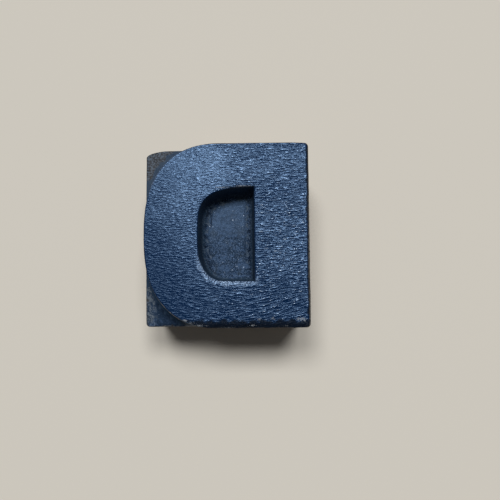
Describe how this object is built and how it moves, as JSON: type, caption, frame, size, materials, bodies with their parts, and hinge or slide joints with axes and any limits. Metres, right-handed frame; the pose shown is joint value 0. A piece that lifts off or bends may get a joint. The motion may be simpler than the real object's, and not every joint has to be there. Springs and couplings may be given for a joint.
{
  "type": "printing block",
  "caption": "Wooden letterpress block with a mirrored capital letter in relief, its counter and shoulders routed below an inked printing face.",
  "frame": {"origin": "centre of the foot, on the surface that the block stands on", "axes": "+X across the letter towards its stem, +Y up the letter along the body size, +Z from the foot to the printing face"},
  "size_m": [0.0308, 0.0338, 0.0233],
  "materials": {
    "end_grain_wood": "close-grained hardwood, end grain on face and foot, stained by years of ink and oil, satin",
    "face_ink": "dried blue-black printing ink in fine wrinkles along the letter's width, satin",
    "floor_ink": "thin dried ink with lint and paper dust, mottled blue-grey, matt"
  },
  "bodies": {
    "root": {"wood_block": "end_grain_wood", "face_ink": "face_ink", "counter_ink": "floor_ink", "shoulder_ink": "floor_ink"}
  },
  "joints": []
}
